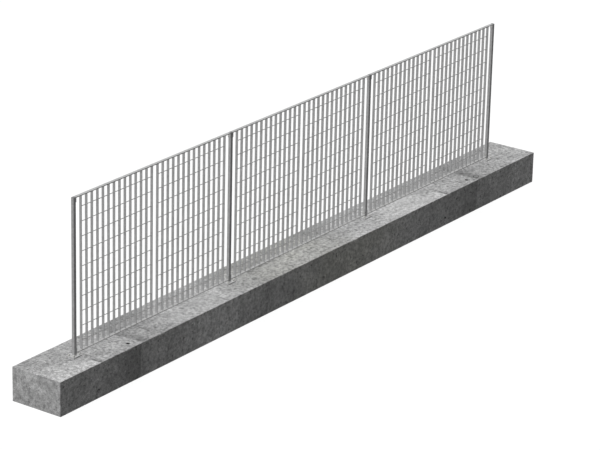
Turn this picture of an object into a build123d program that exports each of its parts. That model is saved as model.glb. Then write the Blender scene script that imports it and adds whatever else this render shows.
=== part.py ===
"""Steel grating guardrail on a reinforced concrete kerb, in millimetres.

Frame: +X along the fence, +Y from its front to its back, +Z up.
The origin is the centre of the kerb's underside.
"""
import os
from math import sqrt

from build123d import *

# Layout along the fence
bay_length = 2000.0               # post centre to post centre
bay_count = 3
panels_per_bay = 2
bars_per_panel = 14
panel_gap = 69.0                  # clear gap beside a post and between two panels

# Concrete kerb
kerb_width = 490.0
kerb_height = 293.0
kerb_end_overhang = 458.0         # end post centre to the kerb's end
kerb_arris = 3.0                  # small chamfer on the exposed edges

# Reinforcement inside the kerb
concrete_cover = 40.0
stirrup_diameter = 8.0
stirrup_bend_radius = 20.0        # at the wire's centre line
stirrups_per_bay = 8
main_bar_diameter = 12.0
main_bar_tie_gap = 1.0            # tie wire between a main bar and a stirrup
bond_gap = 0.3                    # concrete to the steel that it was cast round

# Posts of square tube
post_size = 28.0
post_wall = 3.0
post_corner_radius = 3.0
post_weld_leg = 6.0               # fillet weld round the foot of a post
post_weld_toe = 0.6               # its thickness where it fades out on the post

# Rails of flat bar
guard_height = 1332.0             # kerb top to the top of the top rail
rail_depth = 28.0
top_rail_thickness = 7.0
bottom_rail_thickness = 6.0
bottom_rail_clearance = 12.0      # foot weld to the underside of the bottom rail

# Lugs at the rails' ends, bolted to the posts
lug_thickness = 5.0
lug_bolt_distance = 18.0          # bolt centre to the rail and to the lug's free end
lug_weld_clearance = 1.5          # foot weld to the underside of a bottom lug
bolt_diameter = 8.0
bolt_hole_clearance = 0.5         # lug and post holes round the bolt, on the radius
bolt_flange_diameter = 16.0
bolt_flange_thickness = 1.2
bolt_head_across_flats = 13.0
bolt_head_height = 5.0
bolt_stick_out = 1.0              # bolt past the nut inside the post
lug_nut_across_flats = 13.0
lug_nut_height = 6.5

# Push-in caps of the posts
cap_thickness = 3.0
cap_chamfer = 1.0
cap_spigot_depth = 10.0
cap_spigot_clearance = 0.3        # spigot to the post's bore, all round
cap_wall = 2.0

# Grating bars and rods
bar_depth = 25.0
bar_thickness = 3.0
rod_diameter = 6.0
rod_pitch = 125.0
rod_hole_clearance = 0.1          # round the rod, on the radius
first_rod_height = 74.5           # bottom end of a bar to the lowest rod
top_rod_margin = 40.0             # least length of bar above the highest rod

# Base plates
plate_thickness = 10.0
plate_corner_radius = 4.0
anchor_edge_distance = 15.0       # anchor centre to the plate's edge
anchor_weld_clearance = 5.0       # foot weld to a washer, along the fence
anchor_rail_clearance = 1.0       # bottom rail to a washer, across the fence

# Anchors bonded into the kerb
anchor_diameter = 10.0
anchor_embedment = 90.0
anchor_stick_out = 4.0            # stud above the nut
anchor_tip_chamfer = 1.0
anchor_hole_clearance = 1.0       # plate hole round the stud, on the radius
resin_thickness = 1.0             # drilled hole round the stud, on the radius
washer_diameter = 20.0
washer_thickness = 2.0
washer_clearance = 0.5            # on the radius
nut_across_flats = 16.0
nut_height = 8.0
nut_clearance = 0.1               # on the radius
nut_chamfer_height = 1.2

# Levels
kerb_top = kerb_height
plate_top = kerb_top + plate_thickness
bottom_rail_under = plate_top + post_weld_leg + bottom_rail_clearance
bottom_rail_top = bottom_rail_under + bottom_rail_thickness
rail_top = kerb_top + guard_height
top_rail_under = rail_top - top_rail_thickness
bar_length = top_rail_under - bottom_rail_top
post_top = rail_top - cap_thickness
bottom_lug_under = plate_top + post_weld_leg + lug_weld_clearance
bottom_lug_top = bottom_rail_top + 2 * lug_bolt_distance
bottom_bolt_level = bottom_rail_top + lug_bolt_distance
top_lug_under = top_rail_under - 2 * lug_bolt_distance
top_bolt_level = top_rail_under - lug_bolt_distance

# Post section
post_bore = post_size - 2 * post_wall
post_bore_radius = max(post_corner_radius - post_wall, post_wall / 4)

# Stations along the fence
fence_length = bay_length * bay_count
kerb_length = fence_length + 2 * kerb_end_overhang
post_stations = [bay_length * i - fence_length / 2 for i in range(bay_count + 1)]
clear_bay = bay_length - post_size
rail_length = clear_bay - 2 * lug_thickness
gaps_width = panel_gap * (panels_per_bay + 1)
panel_width = (clear_bay - gaps_width) / panels_per_bay
bar_pitch = (panel_width - bar_thickness) / (bars_per_panel - 1)

# Rods of a panel, as many as the bars have room for
rods_per_panel = int((bar_length - first_rod_height - top_rod_margin) // rod_pitch) + 1
rod_heights = [first_rod_height + rod_pitch * i for i in range(rods_per_panel)]

# Anchor places about a post's centre
post_weld_reach = post_size / 2 + post_weld_leg
anchor_x = post_weld_reach + anchor_weld_clearance + washer_diameter / 2
anchor_y = rail_depth / 2 + anchor_rail_clearance + washer_diameter / 2
anchor_places = [(sx * anchor_x, sy * anchor_y) for sx in (-1, 1) for sy in (-1, 1)]
plate_length = 2 * (anchor_x + anchor_edge_distance)
plate_width = 2 * (anchor_y + anchor_edge_distance)

# Levels of an anchor
anchor_foot = kerb_top - anchor_embedment
washer_top = plate_top + washer_thickness
nut_top = washer_top + nut_height
anchor_tip = nut_top + anchor_stick_out

ON_BASE = (Align.CENTER, Align.CENTER, Align.MIN)


def block(length, depth, height, x=0.0, y=0.0, z=0.0):
    """A box centred on x and y, standing on z."""
    return Pos(x, y, z) * Box(length, depth, height, align=ON_BASE)


def upright(radius, height, x=0.0, y=0.0, z=0.0):
    """A round bar along Z, standing on z."""
    return Pos(x, y, z) * Cylinder(radius, height, align=ON_BASE)


def tube_ring(outer_radius, inner_radius, height, x, y, z):
    """A plain round sleeve or washer, standing on z."""
    ring = Circle(outer_radius) - Circle(inner_radius)
    return Pos(x, y, z) * extrude(ring, amount=height)


def stirrup_stations():
    """Stirrups sit half a pitch off every post, clear of its anchors."""
    pitch = bay_length / stirrups_per_bay
    room = kerb_end_overhang - concrete_cover - stirrup_diameter / 2
    past_end_post = int((room - pitch / 2) // pitch) + 1
    first = post_stations[0] - pitch * (past_end_post - 0.5)
    count = stirrups_per_bay * bay_count + 2 * past_end_post
    return [first + pitch * i for i in range(count)]


def make_stirrups(skin=0.0):
    """Closed wire loops round the kerb's section, thickened by the skin."""
    loop_width = kerb_width - 2 * concrete_cover - stirrup_diameter
    loop_height = kerb_height - 2 * concrete_cover - stirrup_diameter
    section = Plane(origin=(0, 0, kerb_height / 2), x_dir=(0, 1, 0), z_dir=(1, 0, 0))
    loop = (section * RectangleRounded(loop_width, loop_height, stirrup_bend_radius)).wire()
    start = Plane(origin=loop @ 0, z_dir=loop % 0)
    wire = sweep(start * Circle(stirrup_diameter / 2 + skin), path=loop)
    return [Pos(x, 0, 0) * wire for x in stirrup_stations()]


def make_main_bars(skin=0.0):
    """Straight bars nested in the corners of the stirrups, and one along the bottom."""
    wire_reach = stirrup_diameter / 2 + main_bar_diameter / 2 + main_bar_tie_gap
    in_bend = stirrup_bend_radius - (stirrup_bend_radius - wire_reach) / sqrt(2)
    corner_inset = concrete_cover + stirrup_diameter / 2 + max(in_bend, wire_reach)
    side_y = kerb_width / 2 - corner_inset
    middle_z = concrete_cover + stirrup_diameter / 2 + wire_reach
    places = [(sy * side_y, z) for sy in (-1, 1) for z in (corner_inset, kerb_height - corner_inset)]
    places.append((0.0, middle_z))
    length = kerb_length - 2 * concrete_cover
    bar = Rot(0, 90, 0) * Cylinder(main_bar_diameter / 2 + skin, length + 2 * skin)
    return [Pos(0, y, z) * bar for y, z in places]


def make_kerb():
    """The cast kerb, with its drilled anchor holes and the room that the bars take."""
    kerb = block(kerb_length, kerb_width, kerb_height)
    exposed = kerb.edges().filter_by(Axis.Z) + kerb.faces().sort_by(Axis.Z)[-1].edges()
    kerb = chamfer(exposed, kerb_arris)
    hole_radius = anchor_diameter / 2 + resin_thickness
    holes = [
        upright(hole_radius, anchor_embedment, station + x, y, anchor_foot)
        for station in post_stations
        for x, y in anchor_places
    ]
    return kerb.cut(*holes, *make_main_bars(bond_gap), *make_stirrups(bond_gap))


def make_base_plate():
    """One plate about a post's centre, with its four anchor holes."""
    outline = RectangleRounded(plate_length, plate_width, plate_corner_radius)
    hole_radius = anchor_diameter / 2 + anchor_hole_clearance
    for x, y in anchor_places:
        outline -= Pos(x, y) * Circle(hole_radius)
    return Pos(0, 0, kerb_top) * extrude(outline, amount=plate_thickness)


def make_post(sides):
    """One square tube from the base plate to its cap, with bolt holes on those sides."""
    section = RectangleRounded(post_size, post_size, post_corner_radius)
    section -= RectangleRounded(post_bore, post_bore, post_bore_radius)
    post = Pos(0, 0, plate_top) * extrude(section, amount=post_top - plate_top)
    drill = Rot(0, 90, 0) * Cylinder(bolt_diameter / 2 + bolt_hole_clearance, 2 * post_wall)
    wall_middle = (post_size - post_wall) / 2
    levels = (bottom_bolt_level, top_bolt_level)
    return post.cut(*[Pos(side * wall_middle, 0, z) * drill for side in sides for z in levels])


def make_cap():
    """One push-in cap on a post's end, with a hollow spigot inside the tube."""
    plate = extrude(RectangleRounded(post_size, post_size, post_corner_radius), amount=cap_thickness)
    plate = chamfer(plate.faces().sort_by(Axis.Z)[-1].edges(), cap_chamfer)
    spigot_size = post_bore - 2 * cap_spigot_clearance
    hollow_size = spigot_size - 2 * cap_wall
    section = RectangleRounded(spigot_size, spigot_size, post_bore_radius)
    section -= RectangleRounded(hollow_size, hollow_size, post_bore_radius)
    spigot = extrude(section, amount=-cap_spigot_depth)
    return Pos(0, 0, post_top) * (plate + spigot)


def weld_outline(reach, z):
    """Outline of the foot weld where it stands that far out from the post."""
    side = post_size + 2 * reach
    return Pos(0, 0, z) * RectangleRounded(side, side, post_corner_radius + reach)


def make_post_weld():
    """The fillet weld round the foot of one post."""
    lower = weld_outline(post_weld_leg, plate_top)
    upper = weld_outline(post_weld_toe, plate_top + post_weld_leg)
    fillet_body = loft([lower, upper], ruled=True)
    return fillet_body - extrude(weld_outline(0.0, plate_top), amount=post_weld_leg)


def make_rails(thickness, under):
    """One length per bay, between the lugs on its two posts."""
    rail = block(rail_length, rail_depth, thickness, 0, 0, under)
    return [Pos((a + b) / 2, 0, 0) * rail for a, b in zip(post_stations, post_stations[1:])]


def make_lug(under, top, bolt_level):
    """One lug on the right side of a post, with its bolt hole."""
    lug = block(lug_thickness, rail_depth, top - under, (post_size + lug_thickness) / 2, 0, under)
    drill = Rot(0, 90, 0) * Cylinder(bolt_diameter / 2 + bolt_hole_clearance, 2 * lug_thickness)
    return lug - Pos((post_size + lug_thickness) / 2, 0, bolt_level) * drill


def through_lug(shape, level):
    """A shape made along Z from the lug's outer face, turned to the right side of a post."""
    return Pos(post_size / 2 + lug_thickness, 0, level) * Rot(0, 90, 0) * shape


def make_lug_bolt():
    """One flanged hexagon bolt along Z, with its flange on the lug's outer face."""
    shank_length = lug_thickness + post_wall + lug_nut_height + bolt_stick_out
    flange = upright(bolt_flange_diameter / 2, bolt_flange_thickness)
    hexagon = RegularPolygon(bolt_head_across_flats / 2, 6, major_radius=False)
    head = Pos(0, 0, bolt_flange_thickness) * extrude(hexagon, amount=bolt_head_height)
    return upright(bolt_diameter / 2, shank_length, z=-shank_length) + flange + head


def make_lug_nut():
    """One hexagon nut along Z, welded to the inside of the post's wall."""
    section = RegularPolygon(lug_nut_across_flats / 2, 6, major_radius=False)
    section -= Circle(bolt_diameter / 2 + nut_clearance)
    depth = lug_thickness + post_wall + lug_nut_height
    return Pos(0, 0, -depth) * extrude(section, amount=lug_nut_height)


def on_bay_posts(number, solids):
    """Solids made for a post's right side, set at both ends of that bay."""
    left_post, right_post = post_stations[number - 1: number + 1]
    at_left = [Pos(left_post, 0, 0) * solid for solid in solids]
    at_right = [Pos(right_post, 0, 0) * Rot(0, 0, 180) * solid for solid in solids]
    return at_left + at_right


def panel_starts():
    """Left edge of every grating panel along the fence."""
    first = post_size / 2 + panel_gap
    step = panel_width + panel_gap
    return [
        station + first + step * i
        for station in post_stations[:-1]
        for i in range(panels_per_bay)
    ]


def make_bar():
    """One upright flat bar with a hole for every rod, centred on X."""
    bar = block(bar_thickness, bar_depth, bar_length, 0, 0, bottom_rail_top)
    drill = Rot(0, 90, 0) * Cylinder(rod_diameter / 2 + rod_hole_clearance, 2 * bar_thickness)
    return bar.cut(*[Pos(0, 0, bottom_rail_top + height) * drill for height in rod_heights])


def make_panel_bars(bar, start):
    """The upright bars of the panel that starts there."""
    first = start + bar_thickness / 2
    return [Pos(first + bar_pitch * i, 0, 0) * bar for i in range(bars_per_panel)]


def make_panel_rods(start):
    """The cross rods of the panel that starts there, flush with its outer bars."""
    rod = Rot(0, 90, 0) * Cylinder(rod_diameter / 2, panel_width)
    middle = start + panel_width / 2
    return [Pos(middle, 0, bottom_rail_top + height) * rod for height in rod_heights]


def make_stud(x, y):
    """One anchor stud from the bottom of its hole to its tip."""
    stud = upright(anchor_diameter / 2, anchor_tip - anchor_foot, x, y, anchor_foot)
    tip = stud.edges().sort_by(Axis.Z)[-1]
    return chamfer(tip, anchor_tip_chamfer)


def make_resin(x, y):
    """The resin sleeve between one stud and its drilled hole."""
    radius = anchor_diameter / 2
    return tube_ring(radius + resin_thickness, radius, anchor_embedment, x, y, anchor_foot)


def make_washer(x, y):
    """One flat washer on the base plate."""
    bore_radius = anchor_diameter / 2 + washer_clearance
    return tube_ring(washer_diameter / 2, bore_radius, washer_thickness, x, y, plate_top)


def make_nut(x, y):
    """One hexagon nut with its top corners chamfered."""
    flat_radius = nut_across_flats / 2
    corner_radius = nut_across_flats / sqrt(3)
    hexagon = RegularPolygon(flat_radius, 6, major_radius=False)
    bore = Circle(anchor_diameter / 2 + nut_clearance)
    nut = extrude(hexagon - bore, amount=nut_height)
    crown = upright(corner_radius, nut_height)
    rim = crown.edges().sort_by(Axis.Z)[-1]
    crown = chamfer(rim, nut_chamfer_height, corner_radius - flat_radius)
    return Pos(x, y, washer_top) * (nut & crown)


def write_node(name, *solids):
    """Write one node, a single solid or a group of separate ones."""
    shape = solids[0] if len(solids) == 1 else Compound(children=list(solids))
    export_step(shape, os.path.join("parts", name + ".step"))


def write_kerb():
    """Write the kerb and the steel inside it."""
    write_node("concrete_kerb", make_kerb())
    write_node("kerb_main_bars", *make_main_bars())
    write_node("kerb_stirrups", *make_stirrups())


def write_posts():
    """Write every post with its plate, weld, anchors and cap."""
    at_post = {
        "base_plate": [make_base_plate()],
        "post_weld": [make_post_weld()],
        "anchor_studs": [make_stud(x, y) for x, y in anchor_places],
        "anchor_resin": [make_resin(x, y) for x, y in anchor_places],
        "anchor_washers": [make_washer(x, y) for x, y in anchor_places],
        "anchor_nuts": [make_nut(x, y) for x, y in anchor_places],
    }
    for number, station in enumerate(post_stations, 1):
        sides = [side for side in (-1, 1) if 1 <= number + side <= len(post_stations)]
        write_node(f"post_{number}", Pos(station, 0, 0) * make_post(sides))
        for name, solids in at_post.items():
            write_node(f"{name}_{number}", *[Pos(station, 0, 0) * solid for solid in solids])
    write_node("post_caps", *[Pos(station, 0, 0) * make_cap() for station in post_stations])


def write_rails():
    """Write the rails, one node per length, and the lugs and bolts of every bay."""
    for number, rail in enumerate(make_rails(top_rail_thickness, top_rail_under), 1):
        write_node(f"top_rail_{number}", rail)
    for number, rail in enumerate(make_rails(bottom_rail_thickness, bottom_rail_under), 1):
        write_node(f"bottom_rail_{number}", rail)
    bolt_levels = (bottom_bolt_level, top_bolt_level)
    at_bay = {
        "rail_lugs": [
            make_lug(bottom_lug_under, bottom_lug_top, bottom_bolt_level),
            make_lug(top_lug_under, rail_top, top_bolt_level),
        ],
        "lug_bolts": [through_lug(make_lug_bolt(), level) for level in bolt_levels],
        "lug_nuts": [through_lug(make_lug_nut(), level) for level in bolt_levels],
    }
    for number in range(1, bay_count + 1):
        for name, solids in at_bay.items():
            write_node(f"{name}_{number}", *on_bay_posts(number, solids))


def write_panels():
    """Write the bars and the rods of every grating panel."""
    bar = make_bar()
    for number, start in enumerate(panel_starts(), 1):
        write_node(f"panel_{number}_bars", *make_panel_bars(bar, start))
        write_node(f"panel_{number}_rods", *make_panel_rods(start))


os.makedirs("parts", exist_ok=True)
write_kerb()
write_posts()
write_rails()
write_panels()
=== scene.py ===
"""Looks of the steel grating guardrail on its concrete kerb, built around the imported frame.

Lengths are in metres, in the frame's own axes: +X along the fence, +Y to its back, +Z up.
"""
import math
import random
from functools import reduce

import bmesh
import bpy
from mathutils import Matrix, Vector, noise


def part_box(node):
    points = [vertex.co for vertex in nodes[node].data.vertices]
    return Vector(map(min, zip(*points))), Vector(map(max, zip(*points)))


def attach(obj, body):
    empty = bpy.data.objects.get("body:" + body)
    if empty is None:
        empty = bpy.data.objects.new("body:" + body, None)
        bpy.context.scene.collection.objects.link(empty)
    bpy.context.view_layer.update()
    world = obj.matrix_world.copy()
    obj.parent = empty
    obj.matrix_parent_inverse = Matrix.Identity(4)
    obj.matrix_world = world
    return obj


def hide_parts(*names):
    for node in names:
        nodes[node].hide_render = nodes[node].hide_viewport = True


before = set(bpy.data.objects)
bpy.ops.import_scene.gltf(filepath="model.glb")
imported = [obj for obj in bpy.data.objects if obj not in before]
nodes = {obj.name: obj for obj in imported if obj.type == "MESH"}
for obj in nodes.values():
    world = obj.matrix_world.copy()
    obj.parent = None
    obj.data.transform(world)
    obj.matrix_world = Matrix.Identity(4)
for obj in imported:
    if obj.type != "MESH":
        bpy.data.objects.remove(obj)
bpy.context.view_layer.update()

BODY = "root"
MM = 0.001
SEED = 20
POST_NUMBERS = (1, 2, 3, 4)
BAY_NUMBERS = (1, 2, 3)
PANEL_NUMBERS = (1, 2, 3, 4, 5, 6)
BACK = Vector((0, 1, 0))
UP = Vector((0, 0, 1))
QUARTER_TURN = math.pi / 2

# Sizes that the frame's boxes don't give by themselves
BARS_PER_PANEL = 14
RODS_PER_PANEL = 10
BAR_THICKNESS = 3 * MM
POST_CORNER = 3 * MM
STUD_RADIUS = 5 * MM
KERB_ARRIS = 1 * MM

# Foot welds of the posts
FOOT_WELD_POINTS = 120
FOOT_WELD_STEPS = 6
RIPPLE_DEPTH = 0.10
RIPPLE_POINTS = 3.0
RIPPLE_LEAN = 0.35
FOOT_WELD_SAG = 0.16

# Short fillet beads on the rails and at the bars' ends
RAIL_BEAD_LEG = 4 * MM
RAIL_BEAD_INSET = 3 * MM
BAR_BEAD_LEG = 3 * MM
BAR_BEAD_INSET = 2 * MM
BEAD_STEPS = 7
BEAD_CORNER_STEPS = 4
BEAD_BLUNTNESS = 0.12
BEAD_UNEVENNESS = 0.08
BEAD_WAVES = 9
BEAD_SAG = 0.18

# Upset collars where the rods go through the bars; the shoulder is a share of length and of radius
COLLAR_SIDES = 10
COLLAR_PLAY = 0.1 * MM
COLLAR_RISE = 1.3 * MM
COLLAR_LENGTH = 1.6 * MM
COLLAR_SHOULDER = (0.45, 0.94)
COLLAR_LUMP = 0.05
COLLAR_LOBES = 3
COLLAR_TURNS = (700, 300)

# Rolled thread of the anchor studs
THREAD_SIDES = 20
THREAD_STEPS = 6
THREAD_CREST = 4.95 * MM
THREAD_ROOT = 4.35 * MM
THREAD_PITCH = 1.5 * MM
THREAD_RUN_OUT = 2 * MM
STUD_TIP_RADIUS = 4 * MM
STUD_TIP_LENGTH = 1 * MM

# Camera, as fitted to the photograph
CAMERA_PLACE = Vector((-19.2362, -13.7326, 9.4710))
CAMERA_HEADING = math.radians(54.492)
CAMERA_DOWN = math.radians(20.754)
CAMERA_ROLL = math.radians(1.351)
CAMERA_LENS = 176.16
CAMERA_SENSOR = 36.0
CAMERA_CLIP = (0.1, 500.0)

# Light, as irradiance over pi on a surface turned to it
KEY_TOWARDS = Vector((-0.47, 0.30, 0.80))
KEY_LEVEL = 0.935
FILL_TOWARDS = Vector((0.90, 0.30, 0.10))
FILL_LEVEL = 0.16
SOFT_LEVEL = 0.05
SOFT_ANGLE = math.radians(100)
AMBIENT_LEVEL = 0.178
WHITE_LEVEL = 1.0

# Floor
FLOOR_SIZE = 120.0
FLOOR_DROP = 1 * MM
FLOOR_SEEN_ALBEDO = 0.90
FLOOR_SEEN_GLOW = 0.14
FLOOR_BOUNCE_ALBEDO = 0.12

# Mean reflectances and casts
CONCRETE_ALBEDO = 0.392
WELD_ALBEDO = 0.46
RESIN_ALBEDO = 0.20
CAP_ALBEDO = 0.19
WHITE = (1.0, 1.0, 1.0, 1.0)
NEUTRAL = (1.0, 1.0, 1.0)
WARM_GREY = (1.01, 1.01, 0.955)
COOL_GREY = (0.998, 1.0, 1.002)
# Cast of the bottom rail's darker copy of the steel, which is painted shadow
RAIL_SHADE_GREY = (1.0, 1.0, 0.998)
ZINC_GREY = (1.0, 0.995, 0.96)
WELD_GREY = (1.0, 0.995, 0.98)
RESIN_GREY = (1.0, 1.02, 1.0)
CAP_GREY = (0.99, 1.0, 1.01)
MILL_SCALE = (0.10, 0.095, 0.09)
RUST = (0.26, 0.12, 0.055)

# Edges of the steel, rounded by rolling and rubbed bright in places
STEEL_SPECULAR = 0.04
EDGE_RADIUS = 0.8 * MM
EDGE_WEAR = 0.35
BEVEL_SAMPLES = 4

# Heights between which painted shade darkening the steel towards its foot fades out, and its share of the
# tone
FOOT_SHADE_BASE = 0.30
FOOT_SHADE_DEEP_TOP = 0.42
FOOT_SHADE_TOP = 1.00
FOOT_SHADE_DEPTH = 0.10
FOOT_SHADE_DEEP_SHARE = 0.4

# Zinc-coated finishes: name, reflectance, cast, spangle's scale and swing, metallic share, roughness, painted
# shade at the foot
FINISHES = {
    "steel": ("galvanised_steel", 0.47, COOL_GREY, 75.0, 0.10, 0.03, 0.58, FOOT_SHADE_DEPTH),
    "grating": ("galvanised_grating", 0.45, COOL_GREY, 90.0, 0.10, 0.03, 0.58, FOOT_SHADE_DEPTH),
    "plate": ("galvanised_plate", 0.47, COOL_GREY, 60.0, 0.11, 0.03, 0.60, 0.0),
    # A darker, duller copy of the steel for the bottom rail: painted shadow of the grating above it
    "rail_shade": ("rail_shade_steel", 0.43, RAIL_SHADE_GREY, 75.0, 0.06, 0.03, 0.66, 0.0),
    "zinc": ("zinc_plated_fasteners", 0.50, ZINC_GREY, 160.0, 0.03, 0.35, 0.42, 0.0),
}

# Kerb mesh
STATION_PITCH = 10 * MM
TOP_COLUMNS = 25
SIDE_ROWS = 15
FIRST_TOP = SIDE_ROWS + 1
FIRST_BACK = FIRST_TOP + TOP_COLUMNS + 1
FIRST_UNDER = FIRST_BACK + SIDE_ROWS + 1
PLATE_FLAT_REACH = (0.07, 0.16)
SEAM_DEPTH = 1.2 * MM
SEAM_HALF_WIDTH = 3 * MM

# Relief of the cast faces, whose waves are given as number per metre and share
SURFACE_RELIEF = 0.7 * MM
RELIEF_MIDDLE = 0.5
RELIEF_WAVES = ((3.1, 0.5), (23.0, 0.35))
FRONT_PATTERN, TOP_PATTERN, BACK_PATTERN = 1.0, 2.0, 3.0

# Chips in the arrises, as waves per metre, pattern, level that they start at and depth per unit above it
CHIPS = ((17.0, 0.5, 0.28, 5 * MM), (5.3, 7.5, 0.42, 22 * MM))
CHIP_MOST = 6 * MM
FRONT_ARRIS, BACK_ARRIS = 1.0, 2.0

# Marks on the kerb, along X, then across the top or up the front, then radius
TEXTURE_REPEAT = 4.94
TOP_SEAM = -2.458
FRONT_SEAM = -2.470
PALE_EDGE = -2.970
TOP_HOLES = ((-2.533, -0.167, 15 * MM), (2.409, -0.166, 15 * MM))
TOP_PLUGS = ((2.534, -0.179, 29 * MM), (2.520, 0.100, 23 * MM), (-2.420, 0.100, 23 * MM))
FRONT_HOLES = (
    (-2.996, 0.064, 17 * MM),
    (1.944, 0.066, 17 * MM),
    (0.036, 0.072, 16 * MM),
    (-1.918, 0.152, 12 * MM),
)

# Voids: cells taken along X and across, then rings from the rim down as share of radius, depth, painted shade
TOP_HOLE_FORM = ((4, 2), ((1.0, 0.2 * MM, 0.5), (0.92, 8 * MM, 1.0), (0.8, 16 * MM, 1.0)))
PLUG_FORM = (
    (8, 4),
    ((1.0, 0.2 * MM, 0.3), (0.92, 4 * MM, 1.0), (0.72, 3 * MM, 1.0), (0.64, 0.6 * MM, 0.0)),
)
FRONT_HOLE_FORM = (
    (6, 4),
    ((1.15, 0.0, 0.0), (1.0, 0.2 * MM, 1.15), (0.95, 8 * MM, 1.4), (0.8, 16 * MM, 1.4)),
)

# Unevenness of a void's rim
RIM_SWING = 0.12
RIM_PLACE_WAVES = 90
RIM_TURN_WAVES = 1.7

# Small air voids, whose rings are given as share of the radius, depth as another such share and painted shade
PIT_COUNT = 420
PIT_BLOCK = (2, 1)
PIT_RADII = (1.6 * MM, 4.4 * MM)
PIT_LIP = 0.1 * MM
PIT_RINGS = ((1.0, 0.0, 0.3), (0.8, 0.6, 0.9), (0.4, 1.0, 1.0))
PIT_END_STATIONS = (4, 7)

# Broad stains, as middle along X, half width and change of tone
STAIN_CORE = 0.3
TOP_STAINS = (
    (-3.35, 0.50, -0.11),
    (-1.70, 0.60, 0.03),
    (-1.40, 0.42, 0.17),
    (-0.85, 0.55, -0.09),
    (-0.68, 0.24, -0.12),
    (0.25, 0.38, -0.11),
    (0.95, 0.45, 0.07),
)
SIDE_STAINS = (
    (-3.25, 0.60, 0.09),
    (-1.45, 0.66, 0.34),
    (-0.80, 0.40, -0.08),
    (-0.48, 0.26, 0.10),
    (0.12, 0.28, -0.12),
    (1.05, 0.38, 0.13),
    (3.28, 0.42, 0.29),
)

# Blotches, as middle along X and across the top or up the front, half sizes and change of tone
BLOTCH_CORE = 0.25
TOP_BLOTCHES = (
    (0.59, -0.05, 0.17, 0.08, -0.22),
    (0.76, -0.195, 0.14, 0.06, 0.12),
    (1.13, -0.045, 0.20, 0.06, -0.19),
    (-1.12, -0.04, 0.14, 0.06, 0.20),
    (-0.76, -0.04, 0.14, 0.05, 0.14),
    (-1.58, -0.09, 0.22, 0.09, -0.13),
    (1.78, -0.07, 0.16, 0.06, -0.12),
    (2.73, -0.165, 0.14, 0.06, -0.13),
    (2.07, -0.05, 0.11, 0.06, -0.16),
    (-2.41, -0.175, 0.07, 0.04, -0.34),
    (0.45, -0.18, 0.14, 0.06, -0.11),
    (0.43, -0.04, 0.09, 0.05, 0.13),
    (-1.31, -0.125, 0.15, 0.07, 0.11),
    (1.40, -0.045, 0.13, 0.05, -0.11),
    (0.96, -0.146, 0.04, 0.02, -0.40),
    (1.81, -0.09, 0.04, 0.02, -0.30),
    (1.88, -0.075, 0.04, 0.02, -0.30),
    (-2.15, -0.128, 0.04, 0.02, -0.30),
    (-0.57, -0.134, 0.05, 0.02, -0.30),
)
SIDE_BLOTCHES = (
    (-0.86, 0.25, 0.15, 0.09, 0.20),
    (-1.28, 0.27, 0.18, 0.06, 0.18),
    (-1.14, 0.08, 0.13, 0.12, -0.18),
    (0.11, 0.27, 0.14, 0.06, 0.18),
    (-0.05, 0.08, 0.16, 0.12, 0.19),
    (0.93, 0.25, 0.12, 0.08, -0.18),
    (-1.61, 0.06, 0.18, 0.09, 0.16),
    (1.27, 0.24, 0.14, 0.12, 0.16),
    (0.26, 0.08, 0.10, 0.10, -0.16),
)

# Stretches of the top that the trowel left smooth, as middle along X, half width and loss of contrast
SMOOTH_STRETCHES = ((-1.60, 0.62, 0.22), (1.52, 0.52, 0.26))
TEXTURE_MEAN = 0.88

# Where a faint warm cast lies over the grey, as middle along X, half width and strength
TOP_WARMTH = ((-0.25, 0.90, 1.0),)
SIDE_WARMTH = ((0.35, 1.00, 1.0),)

# Ragged blots on the upright faces: range of cells that have one, its size over that range and its tone
BLOT_SCALE = 45.0
BLOT_EDGE = (-0.05, 0.04)
BLOTS = (((0.70, 1.0), (0.0, 0.46), 0.48), ((0.0, 0.14), (0.30, 0.0), 1.75))

# Range that most values of a noise texture lie in, and its middle
NOISE_RANGE = (0.3, 0.7)
NOISE_MIDDLE = 0.5

# Sockets of a mix node: factor and two colours, and the result
MIX_INPUTS = (0, 6, 7)
MIX_RESULT = 2


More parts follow.
